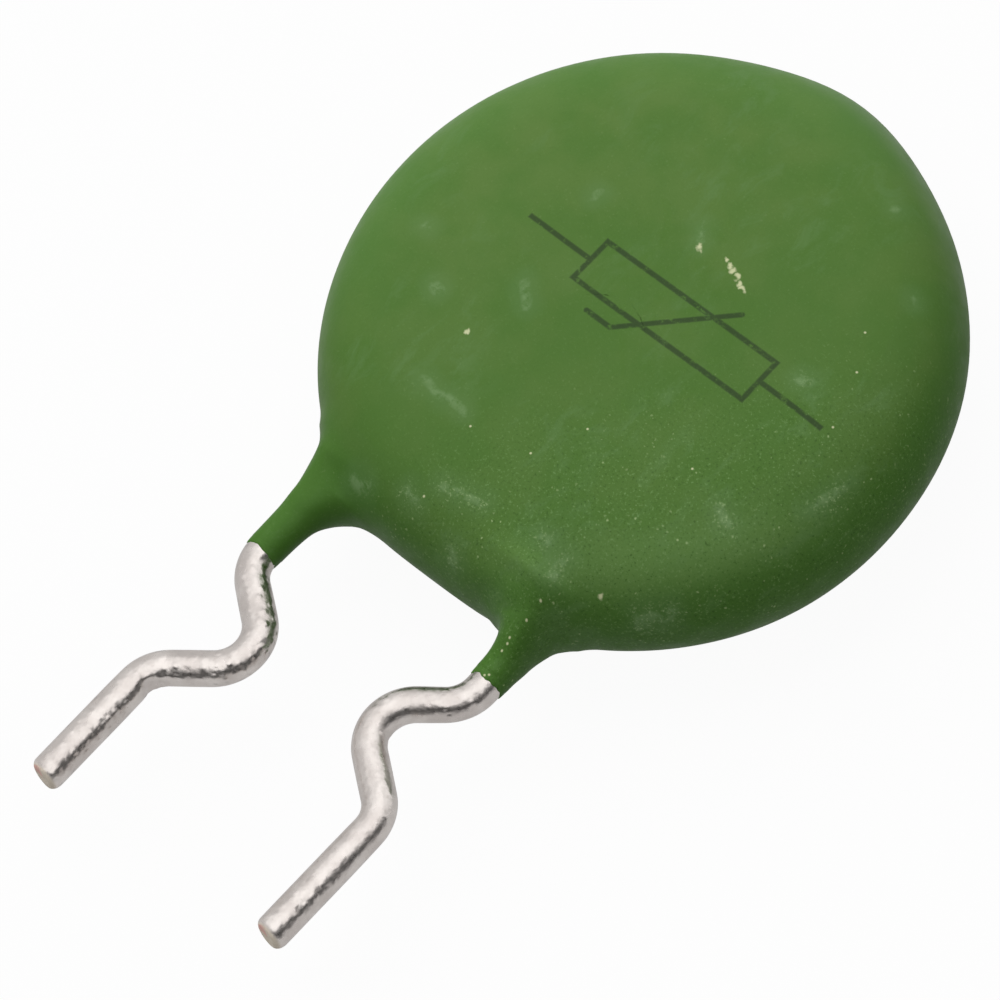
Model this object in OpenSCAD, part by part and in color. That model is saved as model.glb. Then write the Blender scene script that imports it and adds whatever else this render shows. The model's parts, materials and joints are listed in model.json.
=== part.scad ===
/* [Ceramic] */
// Diameter of the ceramic disc
ceramic_d = 15; // [12.5:0.1:18]
// Thickness of the ceramic disc
ceramic_t = 1.6; // [1.3:0.05:2]
// Width of the chamfer round the ceramic disc's edges
ceramic_chamfer = 0.15; // [0.05:0.05:0.3]
// Bare rim of ceramic left round each electrode
electrode_margin = 0.5; // [0.3:0.1:0.8]
// Thickness of each fired silver electrode
electrode_t = 0.05; // [0.03:0.01:0.1]

/* [Leads] */
// Diameter of the wire
lead_d = 1; // [0.8:0.05:1.1]
// Distance between the two leads' straight ends, centre to centre
lead_pitch = 7.5; // [7:0.1:8]
// How far the front lead reaches beyond the coating's rim
front_reach = 9.8; // [8:0.05:25]
// How far the rear lead reaches beyond the coating's rim
rear_reach = 10.05; // [8.6:0.05:25]
// Distance of the front lead's neck from the middle
front_neck_x = 3.3; // [2.7:0.05:4]
// Distance of the rear lead's neck from the middle
rear_neck_x = 3.7; // [3:0.05:4.5]
// How far the front kink's corner lies inside the neck's line
front_kink = 2.15; // [1.7:0.05:2.6]
// How far the rear kink's corner lies inside the neck's line
rear_kink = 2.4; // [2:0.05:2.9]
// Straight wire between the front neck's end and the front kink
front_bare = 0.02; // [0:0.02:1]
// Straight wire between the rear neck's end and the rear kink
rear_bare = 0.02; // [0:0.02:1]
// Angle of a kink's slopes from the lead's own line
kink_angle = 53; // [50:1:55]
// Radius of the wire's bends, to its centre line
bend_r = 1.1; // [0.9:0.05:1.35]
// Break of the edge at each cut end
tip_chamfer = 0.08; // [0.04:0.02:0.16]

// How far outside the ceramic's rim a wire starts to climb to its face
climb_start = 1.2; // [1.1:0.05:1.6]
// How far inside the ceramic's rim a wire reaches its face
climb_end = 0.6; // [0.1:0.05:0.7]
// Distance of a wire's end on its face from the middle line, across from its neck
wire_end_x = 3.6; // [2:0.1:4]
// Distance of a wire's end on its face from the middle, towards the leads
wire_end_y = 0.5; // [0:0.1:1.5]

/* [Solder] */
// Solder left between a wire and its electrode
solder_film = 0.03; // [0.02:0.01:0.06]
// Width of the solder's foot on each side of the wire
solder_foot = 1.1; // [0.9:0.05:1.2]
// Radius of the hollow of the solder fillet
solder_hollow = 0.9; // [0.8:0.05:1.1]

/* [Coating] */
// Coating beyond the ceramic's rim
rim_wall = 0.8; // [0.7:0.05:1.2]
// Coating over a wire that crosses a face, without the ridge
face_cover = 0.52; // [0.4:0.02:1]
// Height of the ridge that the coating shows over a wire
ridge = 0.1; // [0.02:0.01:0.2]
// Coating round a lead, on its neck and where it climbs to its face
neck_wall = 0.1; // [0.08:0.01:0.2]
// How far the edge between the leads lies inside the round of the rim
edge_cut = 0.2; // [0.2:0.05:0.6]
// Height of the drip left on the rim opposite the leads
drip = 0.25; // [0.05:0.01:0.4]
// Angle to each side of its middle at which the drip fades
drip_spread = 16; // [8:1:20]
// Length of the front lead's neck beyond the coating's rim
front_neck_l = 1.4; // [1.15:0.05:2.3]
// Length of the rear lead's neck beyond the coating's rim
rear_neck_l = 1.9; // [1.15:0.05:2.3]
// What the front neck's outer side gains in width as it flares into the rim
front_outer_flare = 0.5; // [0.35:0.05:1.2]
// What the front neck's inner side gains in width as it flares into the rim
front_inner_flare = 0.45; // [0.2:0.05:1.2]
// What the rear neck's outer side gains in width as it flares into the rim
rear_outer_flare = 0.6; // [0.45:0.05:1.2]
// What the rear neck's inner side gains in width as it flares into the rim
rear_inner_flare = 0.9; // [0.2:0.05:1.2]
// Length over which the front neck's outer flare fades
front_outer_flare_l = 0.4; // [0.3:0.05:1.2]
// Length over which the front neck's inner flare fades
front_inner_flare_l = 0.2; // [0.2:0.05:1.2]
// Length over which the rear neck's outer flare fades
rear_outer_flare_l = 0.65; // [0.45:0.05:1.2]
// Length over which the rear neck's inner flare fades
rear_inner_flare_l = 0.45; // [0.2:0.05:1.2]

/* [Hidden] */
$fn = 64;

// Side of a lead from the middle, and the face of the disc that it runs on
RIGHT = 1;
LEFT = -1;
FRONT = 1;
REAR = -1;

lead_r = lead_d / 2;
ceramic_r = ceramic_d / 2;
rim_r = ceramic_r + rim_wall;
edge_y = rim_r - edge_cut;
// Height of a wire's centre line above the mid-plane, where it lies on its electrode
wire_z = ceramic_t / 2 + electrode_t + solder_film + lead_r;
// Half thickness of the coating at the disc's centre
face_z = wire_z + lead_r + face_cover;

// The origin is under the middle of the outer box. These place the disc's centre from there.
disc_y = (max(front_reach, rear_reach) - drip) / 2;
disc_z = face_z + ridge;

// A wire starts to rise to its face here, and reaches it here, from the disc's centre
rise_start_y = ceramic_r + climb_start;
rise_end_y = ceramic_r - climb_end;

// Cutters reach this far past what they cut
PAST = 1;
// A bend's end sits this far inside the straight that laps over it, all round and lengthwise
SEAT = 0.005;
LAP = 0.05;

function unit(v) = v / norm(v);
function heading(points, i) = unit(points[i + 1] - points[i]);
// Angle that the line turns by at its inner point i
function turn(points, i) = acos(heading(points, i - 1) * heading(points, i));
// Length of straight that the bend at point i takes from each side
function taken(points, i) =
    i == 0 || i == len(points) - 1 ? 0 : bend_r * tan(turn(points, i) / 2);
// Where a straight starts from point i: it laps over the end of the bend there
function straight_from(points, i) = max(0, taken(points, i) - LAP);
// Any direction square to v
function across(v) = unit(cross(v, abs(v.z) < 0.9 ? [0, 0, 1] : [1, 0, 0]));

// Corners of a lead's centre line, from its tip to its end on the disc. It bends into its kink
// just past the end of its neck.
function lead_line(side, face, reach, neck_x, kink, bend_y) =
    let (out_x = lead_pitch / 2, kink_x = neck_x - kink, slope = tan(kink_angle),
        neck_y = bend_y + bend_r * tan(kink_angle / 2), kink_y = neck_y + kink / slope) [
        [side * out_x, -rim_r - reach, 0],
        [side * out_x, -kink_y - (out_x - kink_x) / slope, 0],
        [side * kink_x, -kink_y, 0],
        [side * neck_x, -neck_y, 0],
        [side * neck_x, -rise_start_y, 0],
        [side * neck_x, -rise_end_y, face * wire_z],
        [-side * wire_end_x, -wire_end_y, face * wire_z]
    ];

front_end_y = rim_r + front_neck_l;
rear_end_y = rim_r + rear_neck_l;
FRONT_LINE = lead_line(RIGHT, FRONT, front_reach, front_neck_x, front_kink, front_end_y + front_bare);
REAR_LINE = lead_line(LEFT, REAR, rear_reach, rear_neck_x, rear_kink, rear_end_y + rear_bare);
// The corners of a lead's line where it starts to climb, and where it reaches its face
CLIMB = 4;
ON_FACE = 5;

// Moves a shape made about the disc's centre to its place over the origin
module placed() {
    translate([0, disc_y, disc_z]) children();
}

// Puts a shape at a point, with its x, y and z axes along the ones given
module at_axes(origin, x, y, z) {
    multmatrix([
        [x.x, y.x, z.x, origin.x],
        [x.y, y.y, z.y, origin.y],
        [x.z, y.z, z.z, origin.z]
    ]) children();
}

module straight_rod(from, to) {
    z = unit(to - from);
    x = across(z);
    at_axes(from, x, cross(z, x), z) cylinder(h = norm(to - from), r = lead_r);
}

module bend_rod(points, i) {
    into = heading(points, i - 1);
    inward = unit(heading(points, i) - (heading(points, i) * into) * into);
    start = points[i] - taken(points, i) * into;
    at_axes(start + bend_r * inward, -inward, into, cross(into, inward))
        rotate_extrude(angle = turn(points, i)) translate([bend_r, 0]) circle(r = lead_r - SEAT);
}

// Cuts the sharp edge off the end of a rod at the first of the points
module tip_cutter(points) {
    z = heading(points, 0);
    x = across(z);
    at_axes(points[0], x, cross(z, x), z) rotate_extrude()
        polygon([[lead_r - tip_chamfer, 0], [lead_r - tip_chamfer, -PAST], [lead_r + PAST, -PAST],
            [lead_r + PAST, tip_chamfer + PAST]]);
}

// The wire: straights between the corners, and a bend of the same radius at each inner one
module lead(points) {
    last = len(points) - 1;
    difference() {
        union() {
            for (i = [0 : last - 1])
                straight_rod(points[i] + straight_from(points, i) * heading(points, i),
                    points[i + 1] - straight_from(points, i + 1) * heading(points, i));
            for (i = [1 : last - 1]) bend_rod(points, i);
        }
        tip_cutter(points);
    }
}

module ceramic() {
    r = ceramic_r;
    h = ceramic_t / 2;
    c = ceramic_chamfer;
    rotate_extrude() polygon([[0, -h], [r - c, -h], [r, c - h], [r, h - c], [r - c, h], [0, h]]);
}

module electrode(face) {
    z = face * (ceramic_t + electrode_t) / 2;
    translate([0, 0, z]) cylinder(h = electrode_t, r = ceramic_r - electrode_margin, center = true);
}

// Section of the solder across the wire: a foot on the electrode, hollow up to the wire's side
module solder_section() {
    centre_z = lead_r + solder_film;
    reach = lead_r + solder_hollow;
    land = 0.05;
    hollow_x = sqrt(pow(reach, 2) - pow(solder_hollow - centre_z, 2)) + land;
    top = centre_z + lead_r * (solder_hollow - centre_z) / reach;
    difference() {
        translate([-solder_foot, 0]) square([2 * solder_foot, top]);
        for (side = [LEFT, RIGHT]) translate([side * hollow_x, solder_hollow]) circle(r = solder_hollow);
    }
}

module solder_end() {
    rotate_extrude() intersection() {
        solder_section();
        square(2 * solder_foot);
    }
}

// The solder along the part of a wire that lies over its electrode
module solder(points, face) {
    run = heading(points, ON_FACE);
    start = points[ON_FACE] + (taken(points, ON_FACE) + solder_foot) * run;
    foot_z = [0, 0, -face * (lead_r + solder_film)];
    up = [0, 0, face];
    length = norm(points[ON_FACE + 1] - start);
    difference() {
        at_axes(start + foot_z, cross(up, run), run, up) {
            rotate([90, 0, 0]) translate([0, 0, -length]) linear_extrude(length) solder_section();
            solder_end();
            translate([0, length, 0]) solder_end();
        }
        lead(points);
    }
}

// The skin of the coating is two heights over the mid-plane, one to each face. Their square falls
// to nothing at the outline: it is the greatest of the disc's and the two necks', run together.

// Power of the curve that rounds the disc's rim
RIM_POWER = 6;
// Sharpness of the corners between the round of the rim and its straight edge
EDGE_POWER = 12;
// How far the disc's and a neck's squared heights run into each other, in square millimetres
BLEND = 1.8;
// Power of the curve across a neck
NECK_POWER = 2.5;
// What a neck gains in height as it nears the disc, the length over which it gains it, and how
// far inside the rim it has all of it
NECK_RISE = 0.5;
NECK_RISE_L = 0.7;
NECK_RISE_INSET = 0.9;
// Half width of the swelling over a climbing wire, and of the ridge over a wire on the face
SWELL_W = 1.35;
RIDGE_W = 1.2;
// How softly the swelling starts
SWELL_SOFT = 0.16;
// The least squared height that the skin's height is reckoned from
LEAST_H2 = 0.0001;

// The two leads as the coating meets them: line, neck's end, and outer and inner flare
FRONT_NECK = [FRONT_LINE, front_end_y, [front_outer_flare, front_outer_flare_l],
    [front_inner_flare, front_inner_flare_l]];
REAR_NECK = [REAR_LINE, rear_end_y, [rear_outer_flare, rear_outer_flare_l],
    [rear_inner_flare, rear_inner_flare_l]];

function smooth_max(a, b, k) = max(a, b) + pow(max(k - abs(a - b), 0), 2) / (4 * k);
function bell(v) = exp(-v * v);

// Squared height of the disc at a point: its rim has a drip at the top and is straight below
function disc_h2(p) =
    let (reach = rim_r + drip * bell(atan2(p.x, p.y) / drip_spread),
        round = pow(norm(p) / reach, RIM_POWER),
        straight = pow(max(0, -p.y) / edge_y, RIM_POWER))
    pow(face_z, 2) * (1 - pow(pow(round, EDGE_POWER) + pow(straight, EDGE_POWER), 1 / EDGE_POWER));

// Half width of a neck on one side at a distance beyond the line where its flare is widest
function flared(flare, beyond) = lead_r + neck_wall + flare[0] * exp(-max(0, beyond) / flare[1]);

// Squared height of a neck at a point: rounded across, with its own half width on each side.
// Past the disc's middle there is no neck.
function neck_h2(neck, p) =
    let (axis_x = neck[0][CLIMB].x, off = (p.x - axis_x) * sign(axis_x),
        wide_x = min(rim_r, abs(axis_x) + flared(neck[2], 0)),
        half_w = off > 0
            ? flared(neck[2], -p.y - sqrt(pow(rim_r, 2) - pow(wide_x, 2)))
            : flared(neck[3], -p.y - edge_y),
        half_h = flared([NECK_RISE, NECK_RISE_L], -p.y - rim_r + NECK_RISE_INSET))
    p.y > 0 ? -BLEND : pow(half_h, 2) * (1 - pow(abs(off) / half_w, NECK_POWER));

function skin_h2(p) =
    smooth_max(disc_h2(p), max(neck_h2(FRONT_NECK, p), neck_h2(REAR_NECK, p)), BLEND);

// Slope at which a wire climbs, and height of its covered top over it at a distance from the middle
climb = wire_z / (rise_start_y - rise_end_y);
function covered(y) = min(wire_z + lead_r + neck_wall,
    climb * (y + rise_start_y) + (lead_r + neck_wall) * norm([1, climb]));

// Share that the skin's height gains at a point, so that it covers the wire that climbs below
function swelling(line, p) =
    let (run = line[ON_FACE + 1] - line[ON_FACE],
        axis_x = line[ON_FACE].x + max(0, p.y - line[ON_FACE].y) * run.x / run.y,
        lack = covered(p.y) / sqrt(max(LEAST_H2, skin_h2([axis_x, p.y]))) - 1)
    p.y > 0 ? 0 : smooth_max(lack, 0, SWELL_SOFT) * bell((p.x - axis_x) / SWELL_W);

// Height of the ridge over a wire on the face, faded at the wire's end and towards the rim
function ridge_at(line, p) =
    let (from = [line[ON_FACE].x, line[ON_FACE].y], to = [line[ON_FACE + 1].x, line[ON_FACE + 1].y],
        run = unit(to - from), along = (p - from) * run, off = norm(p - from - along * run),
        past = max(0, along - norm(to - from)))
    ridge * bell(off / RIDGE_W) * bell(past / RIDGE_W);

// Height of the skin over the mid-plane on the side of the face that the line's wire runs on
function skin_z(line, p) =
    let (h = sqrt(max(LEAST_H2, skin_h2(p))), full = min(1, h / (face_z / 2)))
    h * (1 + swelling(line, p)) + ridge_at(line, p) * full;

// Distance along a direction from a start inside the outline at which the skin closes
function outline_at(from, way, low, high, n = 24) =
    let (mid = (low + high) / 2)
    n == 0 ? mid
        : skin_h2(from + mid * way) > 0 ? outline_at(from, way, mid, high, n - 1)
        : outline_at(from, way, low, mid, n - 1);

// The mesh of the skin is a fan of rings round the disc's centre, which runs out to the outline.
// Its rays bend as they near the leads' side, to run along the necks.
// At each neck it ends on a line across its root, and slices go on from there to the neck's end.
RINGS = 18;
ARC_STEPS = 50;
EDGE_STEPS = 12;
SLICE_STEPS = 8;
NECK_SLICES = 8;
// How much finer the steps are near the necks
ARC_EASE = 0.7;
EDGE_EASE = 0.4;
// The root lines lie this far beyond the straight edge
ROOT_DROP = 0.15;
// A search for the outline starts and ends here, as a share of the rim's radius
NEAR = 0.8;
FAR = 1.15;
// A search across a neck ends this far from its axis
NECK_FAR = 2.6;
// How much the rays bend
BOW = 0.6;

root_y = edge_y + ROOT_DROP;

// Plan point at a share of the way from the disc's centre to an end of a ray
function on_ray(end, share) =
    let (bend = 1 - BOW * pow(min(0, end.y) / norm(end), 2)) [end.x * pow(share, bend), end.y * share];

// Share of the way at step i of n, with finer steps at both ends
function eased(i, n, ease) = let (t = i / n) t - ease * sin(360 * t) / (2 * PI);

function polar(r, a) = r * [cos(a), sin(a)];
function outline_point(a) = polar(outline_at([0, 0], polar(1, a), NEAR * rim_r, FAR * rim_r), a);

// The slice across a neck at y: its plan points from the side at -x to the side at +x
function slice(neck, y) =
    let (axis = [neck[0][CLIMB].x, -y],
        low = axis.x - outline_at(axis, [-1, 0], 0, NECK_FAR),
        high = axis.x + outline_at(axis, [1, 0], 0, NECK_FAR))
    [for (i = [0 : SLICE_STEPS]) [(low + high) / 2 - (high - low) / 2 * cos(180 * i / SLICE_STEPS), -y]];

// The fan's border, anticlockwise from the front neck's outer side
function border() =
    let (front = slice(FRONT_NECK, root_y), rear = slice(REAR_NECK, root_y),
        start = atan2(front[SLICE_STEPS].y, front[SLICE_STEPS].x),
        stop = atan2(rear[0].y, rear[0].x) + 360,
        edge_start = atan2(rear[SLICE_STEPS].y, rear[SLICE_STEPS].x),
        edge_stop = atan2(front[0].y, front[0].x))
    concat(
        [for (i = [0 : ARC_STEPS - 1]) i == 0 ? front[SLICE_STEPS]
            : outline_point(start + (stop - start) * eased(i, ARC_STEPS, ARC_EASE))],
        [for (i = [0 : SLICE_STEPS - 1]) rear[i]],
        [for (i = [0 : EDGE_STEPS - 1]) i == 0 ? rear[SLICE_STEPS]
            : outline_point(edge_start + (edge_stop - edge_start) * eased(i, EDGE_STEPS, EDGE_EASE))],
        [for (i = [0 : SLICE_STEPS - 1]) front[i]]
    );

REAR_ROOT = ARC_STEPS;
FRONT_ROOT = ARC_STEPS + SLICE_STEPS + EDGE_STEPS;
AROUND = FRONT_ROOT + SLICE_STEPS;
// True for a border point that lies across a neck, where the skin is open to the slices
function across_neck(j) =
    (j > REAR_ROOT && j < REAR_ROOT + SLICE_STEPS) || j > FRONT_ROOT;

// Vertex numbers. Each plan point has one on the front skin and one on the rear skin.
FAN = AROUND * RINGS;
PER_NECK = NECK_SLICES * (SLICE_STEPS + 1);
HALF = 1 + FAN + 2 * PER_NECK;
function fan_vertex(face, j, k) =
    let (own = k == 0 ? 0 : 1 + (j % AROUND) * RINGS + k - 1)
    face == FRONT || (k == RINGS && !across_neck(j % AROUND)) ? own : own + HALF;
function slice_vertex(face, root, s, i) =
    s == 0 ? fan_vertex(face, root + i, RINGS)
        : let (own = 1 + FAN + (root == FRONT_ROOT ? 0 : PER_NECK) + (s - 1) * (SLICE_STEPS + 1) + i)
            face == FRONT || i == 0 || i == SLICE_STEPS ? own : own + HALF;

// Two triangles of a four-sided patch of the points, turned to face out on the given side. They
// meet on the diagonal that lies nearer to the skin at the patch's middle.
function patch(face, points, a, b, c, d) =
    let (middle = (points[a] + points[b] + points[c] + points[d]) / 4,
        z = face * skin_z(face == FRONT ? FRONT_LINE : REAR_LINE, [middle.x, middle.y]),
        miss_ac = abs((points[a] + points[c]).z / 2 - z),
        miss_bd = abs((points[b] + points[d]).z / 2 - z),
        out = miss_ac < miss_bd ? [[a, c, b], [a, d, c]] : [[b, a, d], [b, d, c]])
    face == FRONT ? out : [for (t = out) [t[0], t[2], t[1]]];

// The flat end of a neck, round its last slice
function neck_cap(root) = concat(
    [for (i = [0 : SLICE_STEPS]) slice_vertex(FRONT, root, NECK_SLICES, i)],
    [for (i = [SLICE_STEPS - 1 : -1 : 1]) slice_vertex(REAR, root, NECK_SLICES, i)]
);

module skin() {
    ends = border();
    necks = [for (neck = [FRONT_NECK, REAR_NECK]) for (s = [1 : NECK_SLICES])
        each slice(neck, root_y + (neck[1] - root_y) * s / NECK_SLICES)];
    plan = concat([[0, 0]],
        [for (end = ends) for (k = [1 : RINGS]) on_ray(end, sin(90 * k / RINGS))], necks);
    points = concat([for (p = plan) [p.x, p.y, skin_z(FRONT_LINE, p)]],
        [for (p = plan) [p.x, p.y, -skin_z(REAR_LINE, p)]]);
    fan = [for (face = [FRONT, REAR]) for (j = [0 : AROUND - 1]) for (k = [1 : RINGS - 1])
        each patch(face, points, fan_vertex(face, j, k), fan_vertex(face, j, k + 1),
            fan_vertex(face, j + 1, k + 1), fan_vertex(face, j + 1, k))];
    hub = [for (face = [FRONT, REAR]) for (j = [0 : AROUND - 1])
        let (a = fan_vertex(face, j, 1), b = fan_vertex(face, j + 1, 1), c = fan_vertex(face, 0, 0))
        face == FRONT ? [c, b, a] : [c, a, b]];
    slices = [for (face = [FRONT, REAR]) for (root = [FRONT_ROOT, REAR_ROOT])
        for (s = [0 : NECK_SLICES - 1]) for (i = [0 : SLICE_STEPS - 1])
        each patch(face, points, slice_vertex(face, root, s, i), slice_vertex(face, root, s + 1, i),
            slice_vertex(face, root, s + 1, i + 1), slice_vertex(face, root, s, i + 1))];
    polyhedron(points, concat(fan, hub, slices, [neck_cap(FRONT_ROOT), neck_cap(REAR_ROOT)]));
}

module coating() {
    color([0.33, 0.45, 0.23]) placed() difference() {
        skin();
        ceramic();
        electrode(FRONT);
        electrode(REAR);
        lead(FRONT_LINE);
        lead(REAR_LINE);
        solder(FRONT_LINE, FRONT);
        solder(REAR_LINE, REAR);
    }
}

module ceramic_disc() {
    color([0.2, 0.2, 0.2]) placed() ceramic();
}

module front_electrode() {
    color([0.85, 0.85, 0.83]) placed() electrode(FRONT);
}

module rear_electrode() {
    color([0.85, 0.85, 0.83]) placed() electrode(REAR);
}

module front_lead() {
    color([0.78, 0.77, 0.76]) placed() lead(FRONT_LINE);
}

module rear_lead() {
    color([0.78, 0.77, 0.76]) placed() lead(REAR_LINE);
}

module front_solder() {
    color([0.7, 0.7, 0.7]) placed() solder(FRONT_LINE, FRONT);
}

module rear_solder() {
    color([0.7, 0.7, 0.7]) placed() solder(REAR_LINE, REAR);
}

coating();
ceramic_disc();
front_electrode();
rear_electrode();
front_lead();
rear_lead();
front_solder();
rear_solder();
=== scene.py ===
import json
import math

import bmesh
import bpy
import numpy as np
from mathutils import Matrix, Vector, noise


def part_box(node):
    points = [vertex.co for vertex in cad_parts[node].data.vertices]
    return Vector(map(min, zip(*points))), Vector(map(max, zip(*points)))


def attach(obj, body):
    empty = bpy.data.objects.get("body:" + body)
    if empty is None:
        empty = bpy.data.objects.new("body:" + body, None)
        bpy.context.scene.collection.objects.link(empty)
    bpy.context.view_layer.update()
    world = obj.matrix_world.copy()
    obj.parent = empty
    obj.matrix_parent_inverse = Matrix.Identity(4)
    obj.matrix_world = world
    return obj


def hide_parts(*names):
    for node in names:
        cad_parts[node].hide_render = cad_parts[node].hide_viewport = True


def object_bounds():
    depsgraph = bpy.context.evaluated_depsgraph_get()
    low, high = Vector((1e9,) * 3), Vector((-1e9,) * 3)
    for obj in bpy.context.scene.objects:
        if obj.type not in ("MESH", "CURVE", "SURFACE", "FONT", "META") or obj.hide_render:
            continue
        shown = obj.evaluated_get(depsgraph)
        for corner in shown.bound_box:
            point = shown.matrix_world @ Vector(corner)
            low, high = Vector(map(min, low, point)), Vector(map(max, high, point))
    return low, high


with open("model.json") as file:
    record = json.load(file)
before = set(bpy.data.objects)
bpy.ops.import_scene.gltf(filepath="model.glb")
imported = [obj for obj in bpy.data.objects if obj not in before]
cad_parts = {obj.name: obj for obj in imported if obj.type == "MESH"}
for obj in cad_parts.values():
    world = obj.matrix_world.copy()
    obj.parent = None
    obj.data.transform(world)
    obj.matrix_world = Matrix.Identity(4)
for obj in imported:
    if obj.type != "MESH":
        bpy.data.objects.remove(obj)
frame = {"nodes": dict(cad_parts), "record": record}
cad_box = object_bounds()

# Sizes in millimetres, measured from the middle of the ceramic disc
MM = 0.001
FRONT, REAR = 1, -1
RIGHT, LEFT = 1, -1

front_pin = next(mount for mount in frame["record"]["mounts"] if mount["name"] == "front_pin")
ceramic_low, ceramic_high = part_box("ceramic_disc")
coat_low, coat_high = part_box("coating")
middle = (ceramic_low + ceramic_high) / 2

lead_r = front_pin["dims"]["r_mm"]
# The wire as tinned measures a little under its nominal size
wire_r = 0.925 * lead_r
out_x = front_pin["pos_m"][0] / MM
front_neck_x, rear_neck_x = 3.3, 3.7
front_kink, rear_kink = 2.15, 2.4
# Straight wire between a neck's end and its kink
bare = 0.02
bend_r = 1.1
kink_angle = math.radians(53)
climb_start, climb_end = 1.2, 0.6
wire_end_x, wire_end_y = 3.6, 0.5

ceramic_r = (ceramic_high.x - ceramic_low.x) / 2 / MM
ceramic_t = (ceramic_high.z - ceramic_low.z) / MM
electrode_t, solder_film = 0.05, 0.03
wire_z = ceramic_t / 2 + electrode_t + solder_film + lead_r

rim_wall, edge_cut, neck_wall, ridge = 0.8, 0.2, 0.1, 0.1
rim_r = ceramic_r + rim_wall
edge_y = rim_r - edge_cut
# Half thickness of the coating at the disc's middle
face_z = (coat_high.z - coat_low.z) / 2 / MM - ridge
front_end_y, rear_end_y = rim_r + 1.4, rim_r + 1.9
rise_start_y, rise_end_y = ceramic_r + climb_start, ceramic_r - climb_end


def lead_line(side, face, node, neck_x, kink, end_y):
    """Corners of a lead's centre line, from its tip to its end on the disc."""
    tip_y = (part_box(node)[0].y - middle.y) / MM
    kink_x, slope = neck_x - kink, math.tan(kink_angle)
    neck_y = end_y + bare + bend_r * math.tan(kink_angle / 2)
    kink_y = neck_y + kink / slope
    return [
        Vector((side * out_x, tip_y, 0)),
        Vector((side * out_x, -kink_y - (out_x - kink_x) / slope, 0)),
        Vector((side * kink_x, -kink_y, 0)),
        Vector((side * neck_x, -neck_y, 0)),
        Vector((side * neck_x, -rise_start_y, 0)),
        Vector((side * neck_x, -rise_end_y, face * wire_z)),
        Vector((-side * wire_end_x, -wire_end_y, face * wire_z)),
    ]


FRONT_LINE = lead_line(RIGHT, FRONT, "front_lead", front_neck_x, front_kink, front_end_y)
REAR_LINE = lead_line(LEFT, REAR, "rear_lead", rear_neck_x, rear_kink, rear_end_y)
# The corners of a lead's line where it starts to climb, and where it reaches its face
CLIMB, ON_FACE = 4, 5


def add_object(name, bm):
    """Puts a bmesh into the scene as an object of that name."""
    mesh = bpy.data.meshes.new(name)
    bm.to_mesh(mesh)
    bm.free()
    made = bpy.data.objects.new(name, mesh)
    bpy.context.scene.collection.objects.link(made)
    return made


def add_piece(name, bm):
    """Adds a smooth piece that was shaped in millimetres about the disc's middle."""
    bmesh.ops.recalc_face_normals(bm, faces=bm.faces)
    bmesh.ops.transform(
        bm, verts=bm.verts, matrix=Matrix.Translation(middle) @ Matrix.Scale(MM, 4))
    piece = add_object(name, bm)
    piece.data.shade_smooth()
    return piece


# Camera, seeing the marked face and both leads
AZIMUTH, ELEVATION, ROLL = (math.radians(a) for a in (57.2, 60.0, -17.0))
CAMERA_DISTANCE = 292.2
PICTURE_PIXELS, PIXELS_PER_MM = 1000, 39.72
SENSOR_WIDTH = 36
# The picture's centre lies this far left of the disc's middle and below it, in millimetres
CENTRE_LEFT, CENTRE_BELOW = 3.594, 3.808


def camera_axes():
    """Unit vectors towards the picture's right, its top and the camera."""
    back = Vector((
        math.sin(AZIMUTH) * math.cos(ELEVATION), -math.cos(AZIMUTH) * math.cos(ELEVATION),
        math.sin(ELEVATION)))
    level = Vector((math.cos(AZIMUTH), math.sin(AZIMUTH), 0))
    rise = back.cross(level)
    right = level * math.cos(ROLL) + rise * math.sin(ROLL)
    return right, rise * math.cos(ROLL) - level * math.sin(ROLL), back


def add_camera():
    right, up, back = camera_axes()
    camera = bpy.data.objects.new("camera", bpy.data.cameras.new("camera"))
    bpy.context.scene.collection.objects.link(camera)
    camera.data.sensor_width = SENSOR_WIDTH
    camera.data.lens = SENSOR_WIDTH * CAMERA_DISTANCE * PIXELS_PER_MM / PICTURE_PIXELS
    camera.data.clip_start, camera.data.clip_end = 0.01, 10
    spot = middle + (back * CAMERA_DISTANCE - right * CENTRE_LEFT - up * CENTRE_BELOW) * MM
    turn = Matrix((right, up, back)).transposed().to_4x4()
    camera.matrix_world = Matrix.Translation(spot) @ turn
    return camera


bpy.context.scene.camera = add_camera()
bpy.context.scene.view_settings.view_transform = "Standard"


def add_softbox(name, along, size, power, distance=0.4):
    """A square soft lamp, in metres, that shines on the object from along a direction."""
    light = bpy.data.lights.new(name, "AREA")
    light.size, light.energy = size, power
    made = bpy.data.objects.new(name, light)
    bpy.context.scene.collection.objects.link(made)
    made.location = middle + along.normalized() * distance
    made.rotation_mode = "QUATERNION"
    made.rotation_quaternion = along.to_track_quat("Z", "Y")
    made.visible_glossy = False


add_softbox("key_softbox", Vector((-0.53, 0.22, 0.81)), 0.5, 1.44)


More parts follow.
